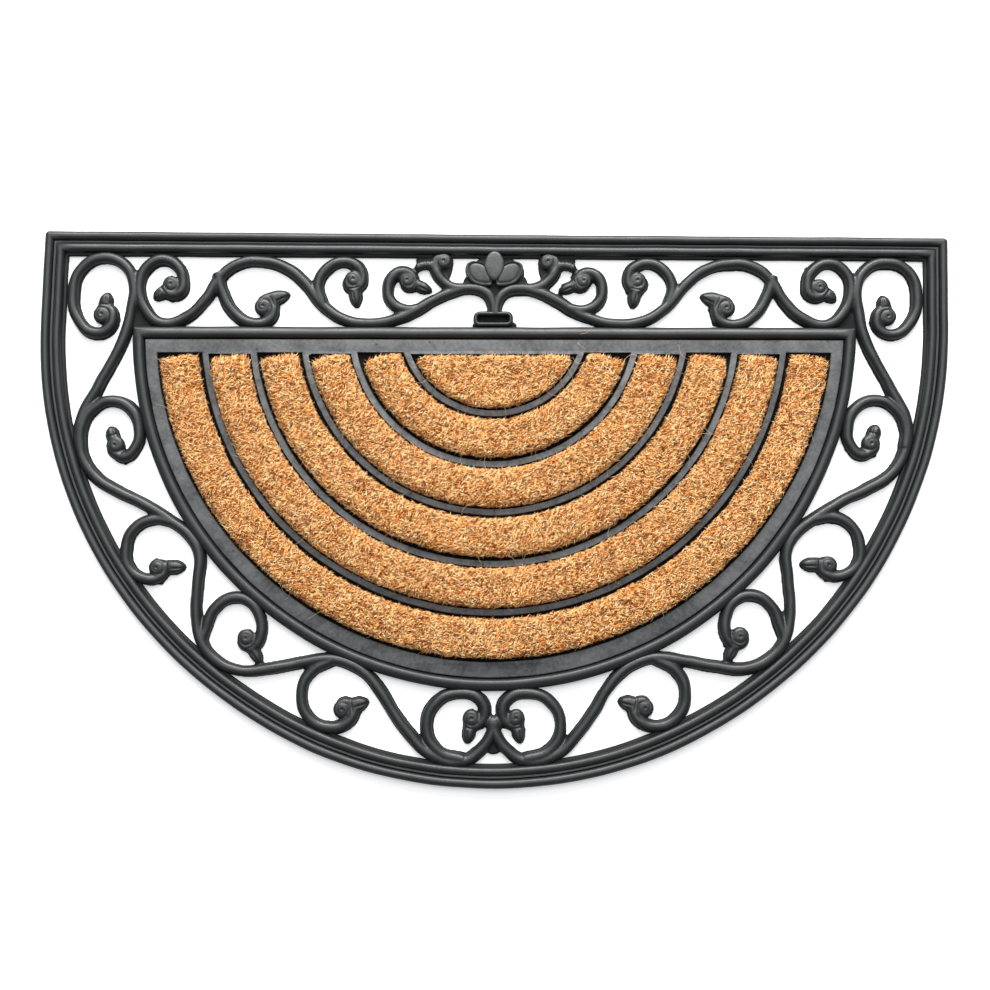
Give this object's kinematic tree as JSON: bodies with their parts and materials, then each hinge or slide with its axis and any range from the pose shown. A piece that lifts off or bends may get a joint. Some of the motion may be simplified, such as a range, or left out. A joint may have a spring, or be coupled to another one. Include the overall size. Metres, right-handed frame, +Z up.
{
  "type": "half-round doormat",
  "caption": "Half-round doormat: a black moulded rubber mat with an openwork scroll border around sunken arc bands that are filled with coir pile.",
  "frame": {"origin": "centre of the mat's bounding box, on the floor", "axes": "+X along the straight edge, +Y from the round edge towards the straight edge, +Z up"},
  "size_m": [0.7516, 0.4588, 0.014],
  "materials": {
    "black_rubber": "soft sheen, dusty",
    "coir_fibre": "matt tufted fibre"
  },
  "bodies": {
    "root": {"rubber_mat": "black_rubber", "coir_middle": "coir_fibre", "coir_band_1": "coir_fibre", "coir_band_2": "coir_fibre", "coir_band_3": "coir_fibre", "coir_band_4": "coir_fibre", "coir_band_5": "coir_fibre"}
  },
  "joints": []
}
